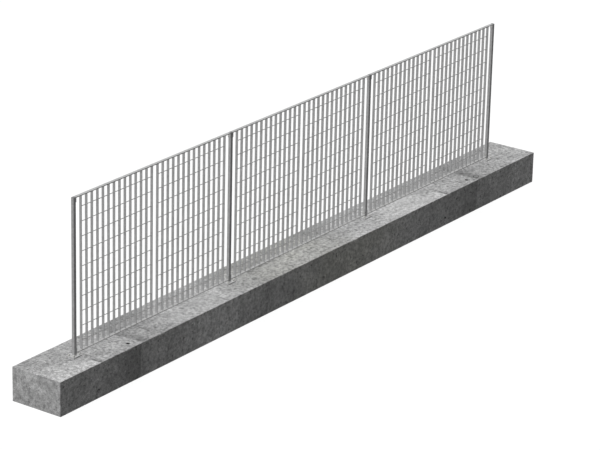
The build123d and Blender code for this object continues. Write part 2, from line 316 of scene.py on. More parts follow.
class Graph:
    """Adds nodes to the tree of one material or world and hands back their sockets."""

    def __init__(self, owner, output):
        self.owner = owner
        owner.use_nodes = True
        self.tree = owner.node_tree
        self.tree.nodes.clear()
        self.output = self.node(output)

    def node(self, kind, inputs=None, **settings):
        """A new node with those settings, whose inputs get links from sockets or plain values."""
        made = self.tree.nodes.new(kind)
        for key, value in settings.items():
            setattr(made, key, value)
        for key, value in (inputs or {}).items():
            self.feed(made.inputs[key], value)
        return made

    def feed(self, socket, value):
        if isinstance(value, bpy.types.NodeSocket):
            self.tree.links.new(value, socket)
        else:
            socket.default_value = value

    def show(self, shader):
        """Puts a shader on the output and hands back the material or world."""
        self.feed(self.output.inputs["Surface"], shader)
        return self.owner

    def surface(self, colour, roughness, specular, metallic, normal):
        """Shows a principled shader of that look."""
        looks = {"Base Color": colour, "Roughness": roughness, "Metallic": metallic, "Normal": normal}
        looks["Specular IOR Level"] = specular
        return self.show(self.node("ShaderNodeBsdfPrincipled", looks).outputs["BSDF"])

    def diffuse(self, albedo):
        return self.node("ShaderNodeBsdfDiffuse", {"Color": (albedo, albedo, albedo, 1.0)}).outputs[0]

    def glow(self, kind, strength):
        """White light of that strength, from a surface or from all round."""
        return self.node(kind, {"Color": WHITE, "Strength": strength}).outputs[0]

    def either(self, factor, a, b):
        """Shader a where the factor is nought, and b where it is one."""
        return self.node("ShaderNodeMixShader", {0: factor, 1: a, 2: b}).outputs[0]

    def seen_directly(self):
        """One where a camera, glossy or transmission ray looks, else nought."""
        path = self.node("ShaderNodeLightPath").outputs
        seen = self.math("MAXIMUM", path["Is Camera Ray"], path["Is Glossy Ray"])
        return self.math("MAXIMUM", seen, path["Is Transmission Ray"])

    def math(self, operation, a, b=0.0):
        return self.node("ShaderNodeMath", {0: a, 1: b}, operation=operation).outputs[0]

    def vector_math(self, operation, *values):
        return self.node("ShaderNodeVectorMath", dict(enumerate(values)), operation=operation).outputs

    def product(self, *factors):
        return reduce(lambda a, b: self.math("MULTIPLY", a, b), factors)

    def total(self, *terms):
        return reduce(lambda a, b: self.math("ADD", a, b), terms)

    def spread(self, value, over, to):
        """The value mapped from one range to another, held at the ends."""
        keys = ("Value", "From Min", "From Max", "To Min", "To Max")
        inputs = dict(zip(keys, (value, *over, *to)))
        return self.node("ShaderNodeMapRange", inputs, clamp=True).outputs["Result"]

    def by_face(self, up, side, top):
        """One value on upright faces and another on level ones."""
        return self.spread(up, over=(0.0, 1.0), to=(side, top))

    def place(self):
        return self.node("ShaderNodeTexCoord").outputs["Object"]

    def normal(self):
        return self.node("ShaderNodeNewGeometry").outputs["Normal"]

    def attribute(self, name):
        return self.node("ShaderNodeAttribute", attribute_name=name).outputs["Fac"]

    def stretch(self, vector, scale, shift=(0.0, 0.0, 0.0)):
        inputs = {"Vector": vector, "Location": shift, "Scale": scale}
        return self.node("ShaderNodeMapping", inputs).outputs["Vector"]

    def split(self, vector):
        return tuple(self.node("ShaderNodeSeparateXYZ", {0: vector}).outputs)

    def noise(self, vector, scale, detail=3.0, roughness=0.55, output="Fac"):
        inputs = {"Vector": vector, "Scale": scale, "Detail": detail, "Roughness": roughness}
        return self.node("ShaderNodeTexNoise", inputs).outputs[output]

    def cells(self, vector, scale):
        """A random tone for every cell of a crystal pattern, and the distance from the cell's point."""
        pattern = self.node("ShaderNodeTexVoronoi", {"Vector": vector, "Scale": scale}).outputs
        tone = self.node("ShaderNodeSeparateColor", {0: pattern["Color"]}).outputs[0]
        return tone, pattern["Distance"]

    def ragged(self, vector, scale, reach):
        """The place shifted about by noise, so that round shapes come out uneven."""
        shift = self.noise(vector, scale, roughness=0.5, output="Color")
        centred = self.vector_math("SUBTRACT", shift, (NOISE_MIDDLE,) * 3)[0]
        return self.vector_math("MULTIPLY_ADD", centred, (reach,) * 3, vector)[0]

    def mottle(self, vector, scale, swing, detail=3.0):
        """A factor about one that swings by that share."""
        return self.spread(self.noise(vector, scale, detail), NOISE_RANGE, to=(1 - swing, 1 + swing))

    def uneven(self, value, swing):
        """A factor about one from a noise value, with that swing for each unit of it."""
        return self.total(1.0, self.product(self.math("SUBTRACT", value, NOISE_MIDDLE), swing))

    def dots(self, vector, scale, kinds, reaches, edge, tone):
        """A factor of that tone in scattered dots, whose sizes go with the kinds of their cells."""
        kind, away = self.cells(vector, scale)
        past = self.math("SUBTRACT", away, self.spread(kind, kinds, to=reaches))
        return self.spread(past, edge, to=(tone, 1.0))

    def run(self, start, end):
        """How far an end lies past a start along X; either may be a mark that repeats."""
        return self.math("FLOORED_MODULO", self.math("SUBTRACT", end, start), TEXTURE_REPEAT)

    def stains(self, x, places):
        """The sum of soft stains along X."""
        changes = []
        for middle, half, change in places:
            away = self.math("ABSOLUTE", self.math("SUBTRACT", x, middle))
            changes.append(self.spread(away, (STAIN_CORE * half, half), to=(change, 0.0)))
        return self.total(*changes)

    def blotches(self, vector, places, axis):
        """The sum of soft oval blotches that lie along X and along that other axis."""
        changes = []
        for middle, across, half, half_across, change in places:
            scale = [1 / half, 0.0, 0.0]
            shift = [-middle / half, 0.0, 0.0]
            scale[axis] = 1 / half_across
            shift[axis] = -across / half_across
            away = self.vector_math("LENGTH", self.stretch(vector, scale, shift))["Value"]
            changes.append(self.spread(away, (BLOTCH_CORE, 1.0), to=(change, 0.0)))
        return self.total(*changes)

    def tint(self, value, cast):
        """The grey value as a colour of that cast."""
        inputs = {0: cast, "Scale": value}
        return self.node("ShaderNodeVectorMath", inputs, operation="SCALE").outputs[0]

    def blend(self, factor, a, b):
        inputs = dict(zip(MIX_INPUTS, (factor, a, b)))
        return self.node("ShaderNodeMix", inputs, data_type="RGBA").outputs[MIX_RESULT]

    def bump(self, height, strength, distance, normal=None):
        """Normals of a surface with those heights."""
        inputs = {"Height": height, "Strength": strength, "Distance": distance}
        if normal:
            inputs["Normal"] = normal
        return self.node("ShaderNodeBump", inputs).outputs["Normal"]

    def rolled_edges(self, radius):
        """Normals rounded over at sharp edges, and how near an edge a point is."""
        rounded = self.node("ShaderNodeBevel", {"Radius": radius}, samples=BEVEL_SAMPLES).outputs["Normal"]
        likeness = self.vector_math("DOT_PRODUCT", rounded, self.normal())["Value"]
        return rounded, self.spread(likeness, over=(0.75, 0.98), to=(1.0, 0.0))


def material_graph(name):
    return Graph(bpy.data.materials.new(name), "ShaderNodeOutputMaterial")


def concrete_texture(graph, place, up, side):
    """Tone of bare concrete, a factor, with the heights of its coarse and its fine grain."""
    drifts = graph.uneven(graph.noise(place, scale=3.0, detail=2.0), graph.by_face(up, side=0.45, top=0.60))
    patches = graph.uneven(graph.noise(place, scale=7.0, detail=4.0), graph.by_face(up, side=0.75, top=0.95))
    run_down = graph.stretch(place, (11.0, 11.0, 1.3))
    streaks = graph.uneven(graph.noise(run_down, scale=1.0, roughness=0.6), graph.product(side, 0.22))

    grain_height = graph.noise(place, scale=34.0, detail=5.0, roughness=0.68)
    grain_depth = graph.by_face(up, side=0.24, top=0.34)
    grain_tones = (graph.math("SUBTRACT", 1.0, grain_depth), graph.total(1.0, grain_depth))
    grain = graph.spread(grain_height, over=(0.40, 0.60), to=grain_tones)
    fleck_shape = graph.noise(place, scale=21.0, roughness=0.6)
    flecks = graph.spread(fleck_shape, over=(0.56, 0.66), to=(1.0, graph.by_face(up, side=0.74, top=0.62)))
    speck_shape = graph.noise(place, scale=130.0, roughness=0.7)
    dark_specks = graph.spread(speck_shape, over=(0.56, 0.61), to=(1.0, 0.66))
    light_specks = graph.spread(speck_shape, over=(0.38, 0.43), to=(1.26, 1.0))
    sand_height = graph.noise(place, scale=600.0, roughness=0.65)
    sand = graph.uneven(sand_height, 1.3)

    loose = graph.ragged(place, scale=75.0, reach=30 * MM)
    blots = []
    for kinds, reaches, tone in BLOTS:
        face_tone = graph.by_face(up, side=tone, top=1.0)
        blots.append(graph.dots(loose, BLOT_SCALE, kinds, reaches, BLOT_EDGE, face_tone))
    # Pinholes as dark dots, which is painted shade of tiny holes; they also dent the bump below
    pinholes = graph.dots(
        place, scale=62.0, kinds=(0.55, 1.0), reaches=(0.0, 0.17), edge=(0.0, 0.06), tone=0.40,
    )

    broad = graph.product(drifts, patches, streaks)
    fine = graph.product(grain, flecks, *blots, dark_specks, light_specks, sand, pinholes)
    fine_height = graph.total(graph.product(sand_height, 0.3), graph.product(pinholes, 0.6))
    return graph.product(broad, fine), grain_height, fine_height


def pour_bands(graph, x, up, side):
    """Factor for the darker concrete beside the pour seams."""
    past_top = graph.run(TOP_SEAM, x)
    top_bands = graph.total(
        graph.spread(past_top, over=(0.06, 0.16), to=(0.18, 0.0)),
        graph.spread(past_top, over=(0.26, 0.62), to=(0.25, 0.0)),
        graph.spread(graph.run(x, TOP_SEAM), over=(0.15, 0.50), to=(0.13, 0.0)),
    )
    front_band = graph.spread(graph.run(x, FRONT_SEAM), over=(0.02, 0.42), to=(0.38, 0.0))
    bands = graph.total(graph.product(top_bands, up), graph.product(front_band, side))
    return graph.math("SUBTRACT", 1.0, bands)


def trowelled_patch(graph, x, y, up):
    """Factor for a paler patch on the front of the top, which ends at a dark rim."""
    before = graph.run(x, PALE_EDGE)
    back_edge = graph.spread(before, over=(0.0, 0.30), to=(-0.13, 0.03))
    in_front = graph.spread(graph.math("SUBTRACT", y, back_edge), over=(-0.02, 0.02), to=(1.0, 0.0))
    depth = graph.total(
        graph.spread(before, over=(0.70, 0.98), to=(0.24, 0.0)),
        graph.spread(before, over=(0.05, 0.40), to=(0.13, 0.0)),
    )
    pale = graph.product(depth, in_front, up)
    rim_depth = graph.spread(graph.run(PALE_EDGE, x), over=(0.02, 0.038), to=(0.52, 0.0))
    rim = graph.product(rim_depth, graph.spread(y, over=(-0.15, -0.11), to=(1.0, 0.0)), up)
    return graph.total(1.0, graph.math("SUBTRACT", pale, rim))


def stained(graph, place, x, up, side):
    """Factor for the broad stains and the blotches of each face."""
    top_stains = graph.total(1.0, graph.product(graph.stains(x, TOP_STAINS), up))
    side_stains = graph.total(1.0, graph.product(graph.stains(x, SIDE_STAINS), side))
    loose = graph.ragged(place, scale=9.0, reach=60 * MM)
    top_blotches = graph.product(graph.blotches(loose, TOP_BLOTCHES, axis=1), up)
    side_blotches = graph.product(graph.blotches(loose, SIDE_BLOTCHES, axis=2), side)
    return graph.product(top_stains, side_stains, graph.total(1.0, top_blotches, side_blotches))


def concrete_material():
    """Cast concrete: cloudy tone, flecks, pour seams, stains, paler trowelled patches and voids darkened with
    painted shade.
    """
    graph = material_graph("cast_concrete")
    place = graph.place()
    x, y, _ = graph.split(place)
    facing_x, _, facing_z = graph.split(graph.normal())
    up = graph.spread(facing_z, over=(0.4, 0.8), to=(0.0, 1.0))
    side = graph.math("SUBTRACT", 1.0, up)

    texture, grain_height, fine_height = concrete_texture(graph, place, up, side)
    lost = graph.product(graph.stains(x, SMOOTH_STRETCHES), up)
    texture = graph.total(texture, graph.product(graph.math("SUBTRACT", TEXTURE_MEAN, texture), lost))
    clouds = graph.mottle(place, scale=1.1, swing=0.06, detail=2.0)
    # End faces 3% darker: painted shade set by which way the face turns
    ends = graph.spread(graph.math("ABSOLUTE", facing_x), over=(0.5, 0.8), to=(1.0, 0.97))
    surface = graph.product(clouds, ends, graph.by_face(up, side=1.03, top=1.0), texture)

    wavy_x = graph.total(x, graph.spread(graph.noise(place, scale=5.0), NOISE_RANGE, to=(-0.012, 0.012)))
    bands = pour_bands(graph, wavy_x, up, side)
    trowelled = trowelled_patch(graph, wavy_x, y, up)
    stains = stained(graph, place, x, up, side)
    # Painted shade in the holes, round the plugs and in the air voids, darkest deep down, read from a mark on
    # the kerb's points
    pit = graph.attribute("pit")
    voids = graph.product(
        graph.spread(pit, over=(0.0, 1.0), to=(1.0, 0.14)),
        graph.spread(pit, over=(1.0, 2.0), to=(1.0, 0.2)),
    )
    broken = graph.spread(graph.attribute("chip"), over=(0.0, 1.0), to=(1.0, 1.14))
    tone = graph.product(CONCRETE_ALBEDO, surface, stains, bands, trowelled, voids, broken)

    top_warmth = graph.product(graph.stains(x, TOP_WARMTH), up)
    side_warmth = graph.product(graph.stains(x, SIDE_WARMTH), side)
    patchy = graph.spread(graph.noise(place, scale=2.3), over=(0.35, 0.60), to=(0.45, 1.0))
    warmth = graph.product(graph.total(top_warmth, side_warmth), patchy)
    colour = graph.blend(warmth, graph.tint(tone, NEUTRAL), graph.tint(tone, WARM_GREY))
    roughness = graph.spread(grain_height, NOISE_RANGE, to=(0.95, 0.82))
    normal = graph.bump(graph.total(grain_height, fine_height), strength=0.6, distance=1.5 * MM)
    return graph.surface(colour, roughness, specular=0.4, metallic=0.0, normal=normal)


def steel_material(name, albedo, cast, spangle_scale, spangle_swing, metallic, rough, shade_depth):
    """Zinc-coated steel: spangle under a dull patina, with faint runs, worn edges and painted shade towards
    the foot.
    """
    graph = material_graph(name)
    place = graph.place()
    crystal, _ = graph.cells(place, spangle_scale)
    spangle = graph.spread(crystal, over=(0.0, 1.0), to=(1 - spangle_swing, 1 + spangle_swing))
    patina_shape = graph.noise(place, scale=6.0, detail=4.0, roughness=0.6)
    patina = graph.spread(patina_shape, NOISE_RANGE, to=(0.93, 1.07))
    runs = graph.mottle(graph.stretch(place, (55.0, 55.0, 3.0)), scale=1.0, swing=0.05, detail=2.0)
    grit_height = graph.noise(place, scale=420.0, detail=2.0)
    grit = graph.spread(grit_height, NOISE_RANGE, to=(0.97, 1.03))
    # Painted shade: the steel darker towards the kerb, deepest just above it
    wander = graph.spread(graph.noise(place, scale=9.0), over=(0.2, 0.8), to=(-0.06, 0.06))
    height = graph.total(graph.split(place)[2], wander)
    foot_shade = graph.product(
        graph.spread(height, over=(FOOT_SHADE_BASE, FOOT_SHADE_TOP), to=(1 - shade_depth, 1.0)),
        graph.spread(height, over=(FOOT_SHADE_BASE, FOOT_SHADE_DEEP_TOP), to=(1 - FOOT_SHADE_DEEP_SHARE * shade_depth, 1.0)),
    )
    rounded, edge = graph.rolled_edges(EDGE_RADIUS)
    rubbed = graph.spread(graph.noise(place, scale=30.0), over=(0.40, 0.62), to=(0.0, EDGE_WEAR))
    wear = graph.total(1.0, graph.product(edge, rubbed))
    tone = graph.product(albedo, spangle, patina, runs, grit, foot_shade, wear)
    dullness = graph.total(patina_shape, graph.product(crystal, 0.25))
    roughness = graph.spread(dullness, over=(0.35, 0.95), to=(rough - 0.08, rough + 0.08))
    normal = graph.bump(graph.total(crystal, grit_height), strength=0.12, distance=0.15 * MM, normal=rounded)
    return graph.surface(graph.tint(tone, cast), roughness, STEEL_SPECULAR, metallic, normal)


def grainy_material(name, albedo, cast, grain, tones, patches, rough, relief, specular, metallic):
    """A material whose grain, a noise of that scale, detail and roughness, sets tone, dullness and relief."""
    graph = material_graph(name)
    place = graph.place()
    height = graph.noise(place, *grain)
    tone = graph.product(albedo, graph.spread(height, NOISE_RANGE, tones), graph.mottle(place, *patches))
    roughness = graph.spread(height, NOISE_RANGE, rough)
    return graph.surface(graph.tint(tone, cast), roughness, specular, metallic, graph.bump(height, *relief))


def weld_material():
    """Weld metal under zinc: darker, with scale in the hollows of its ripples."""
    return grainy_material(
        "zinc_coated_weld", WELD_ALBEDO, WELD_GREY, grain=(260.0, 4.0, 0.65), tones=(0.82, 1.14),
        patches=(40.0, 0.08), rough=(0.66, 0.5), relief=(0.3, 0.2 * MM), specular=0.12, metallic=0.05,
    )


def resin_material():
    """Grey anchor resin with filler grains."""
    return grainy_material(
        "anchor_resin", RESIN_ALBEDO, RESIN_GREY, grain=(900.0, 3.0, 0.6), tones=(0.8, 1.2),
        patches=(90.0, 0.1), rough=(0.45, 0.62), relief=(0.2, 0.1 * MM), specular=0.35, metallic=0.0,
    )


def rebar_material():
    """Hot rolled bar with mill scale and a bloom of rust."""
    graph = material_graph("rusty_reinforcement")
    place = graph.place()
    bloom_shape = graph.noise(place, scale=45.0, detail=5.0, roughness=0.65)
    bloom = graph.spread(bloom_shape, over=(0.42, 0.6), to=(0.0, 1.0))
    mill = graph.tint(graph.mottle(place, scale=160.0, swing=0.2), MILL_SCALE)
    rust = graph.tint(graph.mottle(place, scale=120.0, swing=0.25), RUST)
    roughness = graph.spread(bloom_shape, NOISE_RANGE, to=(0.6, 0.92))
    normal = graph.bump(bloom_shape, strength=0.4, distance=0.3 * MM)
    return graph.surface(graph.blend(bloom, mill, rust), roughness, specular=0.2, metallic=0.1, normal=normal)


def cap_material():
    """Dark grey moulded plastic, dulled and slightly chalky from the weather."""
    graph = material_graph("weathered_cap_plastic")
    place = graph.place()
    grains = graph.noise(place, scale=1100.0, detail=2.0, roughness=0.6)
    grainy = graph.spread(grains, NOISE_RANGE, to=(0.94, 1.06))
    chalk_shape = graph.noise(place, scale=130.0, detail=4.0, roughness=0.6)
    chalk = graph.spread(chalk_shape, over=(0.35, 0.7), to=(0.85, 1.2))
    tone = graph.product(CAP_ALBEDO, chalk, grainy)
    roughness = graph.spread(chalk, over=(0.85, 1.2), to=(0.52, 0.72))
    normal = graph.bump(grains, strength=0.15, distance=0.1 * MM)
    return graph.surface(graph.tint(tone, CAP_GREY), roughness, specular=0.3, metallic=0.0, normal=normal)


def floor_material():
    """A white floor that keeps the soft shadow and throws little light back up."""
    graph = material_graph("studio_floor")
    glow = graph.glow("ShaderNodeEmission", FLOOR_SEEN_GLOW)
    paint = graph.node("ShaderNodeAddShader", {0: graph.diffuse(FLOOR_SEEN_ALBEDO), 1: glow}).outputs[0]
    return graph.show(graph.either(graph.seen_directly(), graph.diffuse(FLOOR_BOUNCE_ALBEDO), paint))


class Shape:
    """Collects vertices and faces of one new piece."""

    def __init__(self):
        self.points = []
        self.faces = []
        self.marks = {}

    def point(self, co, **marks):
        self.points.append(tuple(co))
        index = len(self.points) - 1
        for name, value in marks.items():
            self.marks.setdefault(name, {})[index] = value
        return index

    def tube(self, rings, caps=True):
        """Quads between rings of point numbers, each a closed loop, and with caps a face on either end."""
        count = len(rings[0])
        for a, b in zip(rings, rings[1:]):
            for k in range(count):
                n = (k + 1) % count
                self.faces.append((a[k], a[n], b[n], b[k]))
        if caps:
            self.faces.append(tuple(reversed(rings[0])))
            self.faces.append(tuple(rings[-1]))

    def build(self, name, material, slot, smooth=True):
        """The piece as an object that rides on the fixed body."""
        mesh = bpy.data.meshes.new(name)
        mesh.from_pydata(self.points, [], self.faces)
        mesh.validate()
        for mark, values in self.marks.items():
            layer = mesh.attributes.new(mark, "FLOAT", "POINT")
            for index, value in values.items():
                layer.data[index].value = value
        mesh.polygons.foreach_set("use_smooth", [smooth] * len(mesh.polygons))
        mesh.materials.append(material)
        mesh.update()
        face_outwards(mesh)
        piece = bpy.data.objects.new(name, mesh)
        bpy.context.scene.collection.objects.link(piece)
        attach(piece, BODY)
        return piece


def face_outwards(mesh):
    """Makes every face of a closed mesh look outwards."""
    shell = bmesh.new()
    shell.from_mesh(mesh)
    bmesh.ops.recalc_face_normals(shell, faces=shell.faces)
    shell.to_mesh(mesh)
    shell.free()


def wobble(*place):
    return noise.noise(Vector(place))


def flattened(way, inward):
    """The part of a direction that lies in the face."""
    return way - inward * way.dot(inward)


class KerbSkin:
    """The kerb as rings of points along X, with relief, chipped arrises and voids, inside the CAD block."""

    def __init__(self):
        self.low, self.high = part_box("concrete_kerb")
        boxes = [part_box(f"post_{n}") for n in POST_NUMBERS]
        self.posts = [(low.x + high.x) / 2 for low, high in boxes]
        self.seams = [TOP_SEAM, TOP_SEAM + TEXTURE_REPEAT]
        self.shape = Shape()
        self.stations = self.make_stations()
        self.rings = []
        self.gone = set()

    def make_stations(self):
        """Even stations, with three close ones at each pour seam and a short step at both ends."""
        first, last = self.low.x + KERB_ARRIS, self.high.x - KERB_ARRIS
        count = round((last - first) / STATION_PITCH)
        even = [first + (last - first) * i / count for i in range(count + 1)]
        kept = [x for x in even if all(abs(x - seam) > 2 * SEAM_HALF_WIDTH for seam in self.seams)]
        lines = [seam + k * SEAM_HALF_WIDTH for seam in self.seams for k in (-1, 0, 1)]
        return [self.low.x] + sorted(kept + lines) + [self.high.x]

    def nearest_station(self, x):
        return min(range(len(self.stations)), key=lambda i: abs(self.stations[i] - x))

    def from_post(self, x):
        return min(abs(x - post) for post in self.posts)

    def chip(self, x, arris):
        """How much of an arris is knocked off there."""
        depths = []
        for waves, pattern, start, depth in CHIPS:
            depths.append(max(0.0, wobble(x * waves, arris, pattern) - start) * depth)
        return min(sum(depths), CHIP_MOST)

    def relief(self, x, across, pattern):
        """Depth of the cast surface below the true plane, nought under the base plates."""
        rough = RELIEF_MIDDLE
        for waves, share in RELIEF_WAVES:
            rough += share * wobble(x * waves, across * waves, pattern)
        depth = SURFACE_RELIEF * min(max(rough, 0.0), 1.0)
        if any(abs(x - seam) < SEAM_HALF_WIDTH / 2 for seam in self.seams):
            depth += SEAM_DEPTH
        start, end = PLATE_FLAT_REACH
        return depth * min(max((self.from_post(x) - start) / (end - start), 0.0), 1.0)

    def upright(self, x, face, inward, inset, top, pattern, chipped, rows):
        """Points of one ring on the front or the back, whose Y is face and whose inside is inward."""
        ring = []
        for j in rows:
            z = top * j / SIDE_ROWS
            depth = inset + (self.relief(x, z, pattern) if j else 0.0)
            ring.append(self.shape.point((x, face + inward * depth, z), chip=chipped * (j == SIDE_ROWS)))
        return ring

    def add_ring(self, x, inset):
        """One loop of points: up the front, over the top, down the back, along the underside."""
        low, high = self.low, self.high
        front_chip, back_chip = self.chip(x, FRONT_ARRIS), self.chip(x, BACK_ARRIS)
        front_cut, back_cut = KERB_ARRIS + front_chip, KERB_ARRIS + back_chip
        front_mark, back_mark = front_chip / CHIP_MOST, back_chip / CHIP_MOST
        top = high.z - inset
        rows = range(SIDE_ROWS + 1)
        ring = self.upright(x, low.y, 1, inset, top - front_cut, FRONT_PATTERN, front_mark, rows)
        start, end = low.y + inset + front_cut, high.y - inset - back_cut
        for i in range(TOP_COLUMNS + 1):
            y = start + (end - start) * i / TOP_COLUMNS
            z = top - self.relief(x, y, TOP_PATTERN)
            chipped = front_mark * (i == 0) + back_mark * (i == TOP_COLUMNS)
            ring.append(self.shape.point((x, y, z), chip=chipped))
        ring += self.upright(x, high.y, -1, inset, top - back_cut, BACK_PATTERN, back_mark, reversed(rows))
        start, end = high.y - inset, low.y + inset
        for i in range(1, TOP_COLUMNS):
            ring.append(self.shape.point((x, start + (end - start) * i / TOP_COLUMNS, low.z)))
        self.rings.append(ring)

    def cap(self, ring):
        """Fills one end with a grid whose rim is that ring."""
        points = self.shape.points
        front = ring[:FIRST_TOP]
        top = ring[FIRST_TOP:FIRST_BACK]
        back = ring[FIRST_BACK:FIRST_UNDER][::-1]
        under = [front[0]] + ring[FIRST_UNDER:][::-1] + [back[0]]
        rows = [under]
        for j in range(1, SIDE_ROWS + 1):
            a, b = Vector(points[front[j]]), Vector(points[back[j]])
            inner = [self.shape.point(a.lerp(b, i / TOP_COLUMNS)) for i in range(1, TOP_COLUMNS)]
            rows.append([front[j]] + inner + [back[j]])
        rows.append(top)
        for a, b in zip(rows, rows[1:]):
            for i in range(TOP_COLUMNS):
                self.shape.faces.append((a[i], a[i + 1], b[i + 1], b[i]))

    def is_free(self, i, k, block):
        """Whether a block of cells and the cells round it are still whole."""
        columns, rows = block
        cells = {(i + a, k + b) for a in range(-1, columns + 1) for b in range(-1, rows + 1)}
        return not cells & self.gone

    def void(self, i, k, block, inward, profile, middle=None):
        """Takes a block of cells out and lines the hole with rings of those radii, depths and painted shade.
        """
        columns, rows = block
        self.gone |= {(i + a, k + b) for a in range(columns) for b in range(rows)}
        rim = [(i + a, k) for a in range(columns)]
        rim += [(i + columns, k + b) for b in range(rows)]
        rim += [(i + a, k + rows) for a in range(columns, 0, -1)]
        rim += [(i, k + b) for b in range(rows, 0, -1)]
        loop = [self.rings[a][b] for a, b in rim]
        corners = [Vector(self.shape.points[p]) for p in loop]
        centre = sum(corners, Vector()) / len(corners)
        if middle:
            centre += flattened(middle - centre, inward)
        ways = [flattened(corner - centre, inward).normalized() for corner in corners]
        rings = [loop]
        # Each ring's points carry its painted shade as a mark
        for radius, depth, dark in profile:
            ring = []
            for way in ways:
                swing = 1 + RIM_SWING * wobble(*(centre * RIM_PLACE_WAVES + way * RIM_TURN_WAVES))
                ring.append(self.shape.point(centre + way * radius * swing + inward * depth, pit=dark))
            rings.append(ring)
        self.shape.tube(rings, caps=False)
        bottom = self.shape.point(centre + inward * depth, pit=dark)
        last = rings[-1]
        for a, b in zip(last, last[1:] + last[:1]):
            self.shape.faces.append((a, b, bottom))

    def sink(self, form, radius, x, k, inward, middle=None):
        """A void of that form in the cells about a place along X and a point across."""
        block, rings = form
        i = self.nearest_station(x) - block[0] // 2
        profile = [(share * radius, depth, dark) for share, depth, dark in rings]
        self.void(i, k - block[1] // 2, block, inward, profile, middle)

    def cut_marks(self):
        """The tie holes and the plugged holes that the kerb shows."""
        width = self.high.y - self.low.y
        for places, form in ((TOP_HOLES, TOP_HOLE_FORM), (TOP_PLUGS, PLUG_FORM)):
            for x, y, radius in places:
                k = FIRST_TOP + round((y - self.low.y) / width * TOP_COLUMNS)
                self.sink(form, radius, x, k, -UP)
        for x, z, radius in FRONT_HOLES:
            k = round(z / (self.high.z - KERB_ARRIS) * SIDE_ROWS)
            self.sink(FRONT_HOLE_FORM, radius, x, k, BACK, Vector((x, self.low.y, z)))

    def cut_pits(self):
        """Small air voids all over the front, top and back, clear of the arrises and the plates."""
        chance = random.Random(SEED)
        # Per face, the first cell across that an air void may take, how many there are and the way in
        front = (1, SIDE_ROWS - 2, BACK)
        top = (FIRST_TOP + 1, TOP_COLUMNS - 2, -UP)
        back = (FIRST_BACK + 2, SIDE_ROWS - 3, -BACK)
        first, spare = PIT_END_STATIONS
        for _ in range(PIT_COUNT):
            start, room, inward = chance.choice([front, top, back])
            i = chance.randrange(first, len(self.stations) - spare)
            k = start + chance.randrange(room)
            radius = chance.uniform(*PIT_RADII)
            near_plate = self.from_post(self.stations[i + 1]) < PLATE_FLAT_REACH[1]
            if near_plate or not self.is_free(i, k, PIT_BLOCK):
                continue
            profile = [(share * radius, max(PIT_LIP, deep * radius), dark) for share, deep, dark in PIT_RINGS]
            self.void(i, k, PIT_BLOCK, inward, profile)

    def build(self, material):
        ends = (0, len(self.stations) - 1)
        for i, x in enumerate(self.stations):
            self.add_ring(x, KERB_ARRIS if i in ends else 0.0)
        self.cut_marks()
        self.cut_pits()
        count = len(self.rings[0])
        for i, (a, b) in enumerate(zip(self.rings, self.rings[1:])):
            for k in range(count):
                n = (k + 1) % count
                if (i, k) not in self.gone:
                    self.shape.faces.append((a[k], b[k], b[n], a[n]))
        self.cap(self.rings[0])
        self.cap(self.rings[-1])
        return self.shape.build("cast_kerb", material, "concrete", smooth=False)


def square_loop(half, corner, count):
    """Points round a rounded square with their outward directions, evenly spaced."""
    straight = 2 * (half - corner)
    side = straight + QUARTER_TURN * corner
    loop = []
    for i in range(count):
        quarter, along = divmod(4 * side * i / count, side)
        if along < straight:
            at = Vector((half, -half + corner + along))
            out = Vector((1.0, 0.0))
        else:
            turn = (along - straight) / corner
            out = Vector((math.cos(turn), math.sin(turn)))
            at = Vector((half - corner, half - corner)) + out * corner
        spin = Matrix.Rotation(QUARTER_TURN * quarter, 2)
        loop.append((spin @ at, spin @ out))
    return loop


def ring_weld(shape, centre, half, leg, phase):
    """A rippled fillet bead on a plate round the foot of a square post."""
    loop = square_loop(half, POST_CORNER, FOOT_WELD_POINTS)
    strips = []
    for s in range(FOOT_WELD_STEPS + 1):
        turn = QUARTER_TURN * s / FOOT_WELD_STEPS
        sag = 1 - FOOT_WELD_SAG * math.sin(2 * turn)
        strip = []
        for i, (at, out) in enumerate(loop):
            wave = math.pi * (i + RIPPLE_LEAN * s + phase) / RIPPLE_POINTS
            reach = leg * (1 - RIPPLE_DEPTH * abs(math.sin(wave))) * sag
            flat = at + out * reach * math.cos(turn)
            z = centre.z + reach * math.sin(turn)
            strip.append(shape.point((centre.x + flat.x, centre.y + flat.y, z)))
        strips.append(strip)
    inner = [shape.point((centre.x + at.x, centre.y + at.y, centre.z)) for at, out in loop]
    shape.tube([inner] + strips + [inner], caps=False)


def bead(shape, x, z, start, end, way, rise, leg, phase):
    """A short fillet bead along Y from start to end, in a corner that opens to way in X and to rise in Z."""
    rings = []
    for s in range(BEAD_STEPS + 1):
        share = s / BEAD_STEPS
        swell = math.sin(math.pi * (BEAD_BLUNTNESS + (1 - 2 * BEAD_BLUNTNESS) * share)) ** 0.5
        swell *= 1 - BEAD_UNEVENNESS * math.sin(BEAD_WAVES * share + phase)
        y = start + (end - start) * share
        ring = [shape.point((x, y, z))]
        for c in range(BEAD_CORNER_STEPS + 1):
            turn = QUARTER_TURN * c / BEAD_CORNER_STEPS
            reach = leg * swell * (1 - BEAD_SAG * math.sin(2 * turn))
            ring.append(shape.point((x + way * reach * math.cos(turn), y, z + rise * reach * math.sin(turn))))
        rings.append(ring)
    shape.tube(rings)


def round_ring(shape, radii, place):
    """A ring of points at those radii, each put where place says for its two parts."""
    ring = []
    for i, radius in enumerate(radii):
        turn = math.tau * i / len(radii)
        ring.append(shape.point(place(radius * math.cos(turn), radius * math.sin(turn))))
    return ring


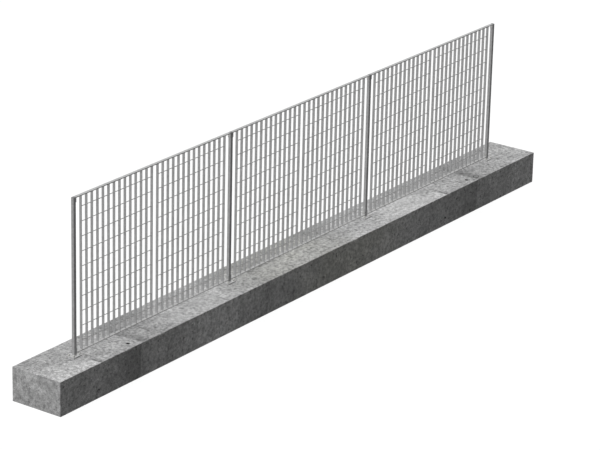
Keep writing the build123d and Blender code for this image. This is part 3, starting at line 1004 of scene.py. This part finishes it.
def collar(shape, centre, way, rod_radius):
    """A small upset ring of weld metal where a rod goes into a bar."""
    inner, outer = rod_radius + COLLAR_PLAY, rod_radius + COLLAR_RISE
    along, across = COLLAR_SHOULDER
    start = centre.x * COLLAR_TURNS[0] + centre.z * COLLAR_TURNS[1]
    turns = [math.tau * i / COLLAR_SIDES for i in range(COLLAR_SIDES)]
    lumps = [1 + COLLAR_LUMP * math.sin(COLLAR_LOBES * turn + start) for turn in turns]
    rings = []
    for reach, radius in ((0.0, outer), (along * COLLAR_LENGTH, across * outer), (COLLAR_LENGTH, inner)):
        x = centre.x + way * reach
        radii = [radius * lump for lump in lumps]
        rings.append(round_ring(shape, radii, lambda y, z: (x, centre.y + y, centre.z + z)))
    shape.tube(rings)


def threaded_stud(shape, centre, foot, thread_start, tip):
    """A stud with a rolled thread on its upper end."""
    levels = [(foot, [THREAD_CREST] * THREAD_SIDES)]
    levels.append((thread_start - THREAD_RUN_OUT, [THREAD_CREST] * THREAD_SIDES))
    count = int((tip - STUD_TIP_LENGTH - thread_start) / THREAD_PITCH * THREAD_STEPS)
    for step in range(count + 1):
        radii = []
        for i in range(THREAD_SIDES):
            phase = (step / THREAD_STEPS - i / THREAD_SIDES) % 1.0
            radii.append(THREAD_ROOT + (THREAD_CREST - THREAD_ROOT) * abs(2 * phase - 1))
        levels.append((thread_start + THREAD_PITCH * step / THREAD_STEPS, radii))
    levels.append((tip, [STUD_TIP_RADIUS] * THREAD_SIDES))
    rings = []
    for z, radii in levels:
        rings.append(round_ring(shape, radii, lambda x, y: (centre.x + x, centre.y + y, z)))
    shape.tube(rings)


def dress_posts(weld, zinc):
    """Foot welds of the posts and the threaded anchor studs."""
    for n in POST_NUMBERS:
        low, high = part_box(f"post_{n}")
        axis = (low + high) / 2
        weld_low, weld_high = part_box(f"post_weld_{n}")
        foot = Shape()
        centre = Vector((axis.x, axis.y, weld_low.z))
        ring_weld(foot, centre, (high.x - low.x) / 2, weld_high.z - weld_low.z, phase=n)
        piece = foot.build(f"post_foot_weld_{n}", weld, "weld_metal")
        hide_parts(f"post_weld_{n}")

        studs_low, studs_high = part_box(f"anchor_studs_{n}")
        thread_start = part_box(f"anchor_washers_{n}")[0].z
        studs = Shape()
        for x in (studs_low.x + STUD_RADIUS, studs_high.x - STUD_RADIUS):
            for y in (studs_low.y + STUD_RADIUS, studs_high.y - STUD_RADIUS):
                threaded_stud(studs, Vector((x, y, 0)), studs_low.z, thread_start, studs_high.z)
        piece = studs.build(f"threaded_studs_{n}", zinc, "zinc_fasteners", smooth=False)
        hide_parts(f"anchor_studs_{n}")


def dress_rails(weld):
    """Fillet beads where the rails end on their lugs, above and below the bar or only below it."""
    for n in BAY_NUMBERS:
        for rail, rises in (("top_rail", (-1,)), ("bottom_rail", (-1, 1))):
            low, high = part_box(f"{rail}_{n}")
            start, end = low.y + RAIL_BEAD_INSET, high.y - RAIL_BEAD_INSET
            shape = Shape()
            for x, way in ((low.x, 1), (high.x, -1)):
                for rise in rises:
                    z = high.z if rise > 0 else low.z
                    bead(shape, x, z, start, end, way, rise, RAIL_BEAD_LEG, phase=x)
            shape.build(f"{rail}_welds_{n}", weld, "weld_metal")


def dress_panels(weld):
    """Bar-end welds on both rails and upset collars at every rod crossing."""
    for n in PANEL_NUMBERS:
        low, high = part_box(f"panel_{n}_bars")
        rods_low, rods_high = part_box(f"panel_{n}_rods")
        rod_radius = (rods_high.y - rods_low.y) / 2
        rod_y = (rods_low.y + rods_high.y) / 2
        pitch = (high.x - low.x - BAR_THICKNESS) / (BARS_PER_PANEL - 1)
        first_rod = rods_low.z + rod_radius
        rod_step = (rods_high.z - rods_low.z - 2 * rod_radius) / (RODS_PER_PANEL - 1)
        start, end = low.y + BAR_BEAD_INSET, high.y - BAR_BEAD_INSET
        ends, collars = Shape(), Shape()
        for i in range(BARS_PER_PANEL):
            left = low.x + pitch * i
            for x, way, outermost in ((left, -1, 0), (left + BAR_THICKNESS, 1, BARS_PER_PANEL - 1)):
                for z, rise in ((low.z, 1), (high.z, -1)):
                    bead(ends, x, z, start, end, way, rise, BAR_BEAD_LEG, phase=i + z)
                if i == outermost:
                    continue
                for r in range(RODS_PER_PANEL):
                    collar(collars, Vector((x, rod_y, first_rod + rod_step * r)), way, rod_radius)
        ends.build(f"panel_{n}_end_welds", weld, "weld_metal")
        collars.build(f"panel_{n}_rod_collars", weld, "weld_metal")


def dress_nodes(materials):
    """Gives every carried-over CAD node its procedural material."""
    kinds = {
        "concrete_kerb": "concrete",
        "kerb": "rebar",
        "base_plate": "plate",
        "post_weld": "weld",
        "post_caps": "cap",
        "post": "steel",
        "rail_lugs": "steel",
        "lug_": "zinc",
        "anchor_resin": "resin",
        "anchor": "zinc",
        "top_rail": "steel",
        # The bottom rail takes the darker copy of the steel, painted shadow
        "bottom_rail": "rail_shade",
        "panel": "grating",
    }
    for name, node in nodes.items():
        kind = next(value for key, value in kinds.items() if name.startswith(key))
        node.data.materials.clear()
        node.data.materials.append(materials[kind])


def make_sun(name, towards, level, angle=0.0, shadow=False):
    """A sun that gives a surface turned to it that level."""
    lamp = bpy.data.lights.new(name, "SUN")
    lamp.energy = level * math.pi
    lamp.angle = angle
    lamp.use_shadow = shadow
    holder = bpy.data.objects.new(name, lamp)
    holder.rotation_mode = "QUATERNION"
    holder.rotation_quaternion = towards.to_track_quat("Z", "Y")
    bpy.context.scene.collection.objects.link(holder)


def light_scene():
    """Soft studio light from the upper left and behind, on a white ground."""
    make_sun("key", KEY_TOWARDS, KEY_LEVEL)
    make_sun("fill", FILL_TOWARDS, FILL_LEVEL)
    make_sun("soft_top", UP, SOFT_LEVEL, SOFT_ANGLE, shadow=True)
    graph = Graph(bpy.data.worlds.new("studio"), "ShaderNodeOutputWorld")
    ambient = graph.glow("ShaderNodeBackground", AMBIENT_LEVEL)
    white = graph.glow("ShaderNodeBackground", WHITE_LEVEL)
    bpy.context.scene.world = graph.show(graph.either(graph.seen_directly(), ambient, white))


def make_floor():
    """A plain level floor just under the kerb."""
    half = FLOOR_SIZE / 2
    signs = ((-1, -1), (1, -1), (1, 1), (-1, 1))
    mesh = bpy.data.meshes.new("floor")
    mesh.from_pydata([(half * a, half * b, -FLOOR_DROP) for a, b in signs], [], [(0, 1, 2, 3)])
    mesh.materials.append(floor_material())
    floor = bpy.data.objects.new("floor", mesh)
    bpy.context.scene.collection.objects.link(floor)


def make_camera():
    """The photograph's viewpoint."""
    level = math.cos(CAMERA_DOWN)
    east, north = math.sin(CAMERA_HEADING), math.cos(CAMERA_HEADING)
    forward = Vector((east * level, north * level, -math.sin(CAMERA_DOWN)))
    right = Vector((north, -east, 0.0))
    above = right.cross(forward)
    c, s = math.cos(CAMERA_ROLL), math.sin(CAMERA_ROLL)
    rolled_right = right * c + above * s
    rolled_above = above * c - right * s
    lens = bpy.data.cameras.new("photo_camera")
    lens.lens = CAMERA_LENS
    lens.sensor_width = CAMERA_SENSOR
    lens.clip_start, lens.clip_end = CAMERA_CLIP
    camera = bpy.data.objects.new("photo_camera", lens)
    turn = Matrix((rolled_right, rolled_above, -forward)).transposed()
    camera.matrix_world = Matrix.Translation(CAMERA_PLACE) @ turn.to_4x4()
    bpy.context.scene.collection.objects.link(camera)
    bpy.context.scene.camera = camera


def make_materials():
    """Every material by its kind."""
    materials = {kind: steel_material(*finish) for kind, finish in FINISHES.items()}
    materials.update(weld=weld_material(), concrete=concrete_material(), rebar=rebar_material())
    materials.update(resin=resin_material(), cap=cap_material())
    return materials


make_camera()
light_scene()
make_floor()

materials = make_materials()
dress_nodes(materials)
kerb = KerbSkin().build(materials["concrete"])
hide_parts("concrete_kerb")
dress_posts(materials["weld"], materials["zinc"])
dress_rails(materials["weld"])
dress_panels(materials["weld"])

bpy.context.scene.view_settings.view_transform = "Standard"
